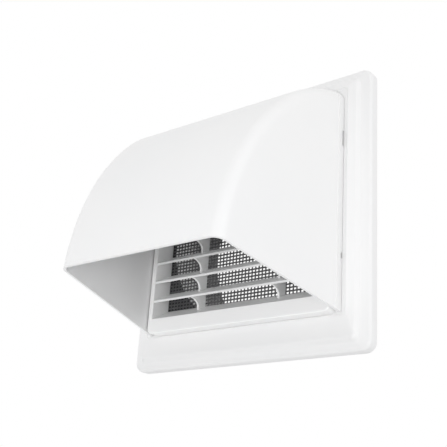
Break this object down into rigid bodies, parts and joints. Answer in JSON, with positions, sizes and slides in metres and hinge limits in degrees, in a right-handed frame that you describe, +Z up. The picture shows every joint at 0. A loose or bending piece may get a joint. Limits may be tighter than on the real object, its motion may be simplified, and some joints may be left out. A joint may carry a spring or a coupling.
{
  "type": "weatherproof vent cover",
  "caption": "Square wall plate with a round duct spigot, a louvred grille over an insect mesh, and a curved rain hood open at its underside.",
  "frame": {"origin": "on the duct spigot's axis, in the plane of the wall that the plate is screwed to", "axes": "+X along the wall to the right of someone facing the cover, +Y through the wall along the duct, +Z up; the hood reaches to -Y"},
  "size_m": [0.168, 0.1425, 0.168],
  "materials": {
    "white_plastic": "satin moulded",
    "mesh_grey": "woven, matte"
  },
  "bodies": {
    "root": {"wall_plate": "white_plastic", "louvre_grille": "white_plastic", "insect_mesh": "mesh_grey", "hood": "white_plastic"}
  },
  "joints": []
}
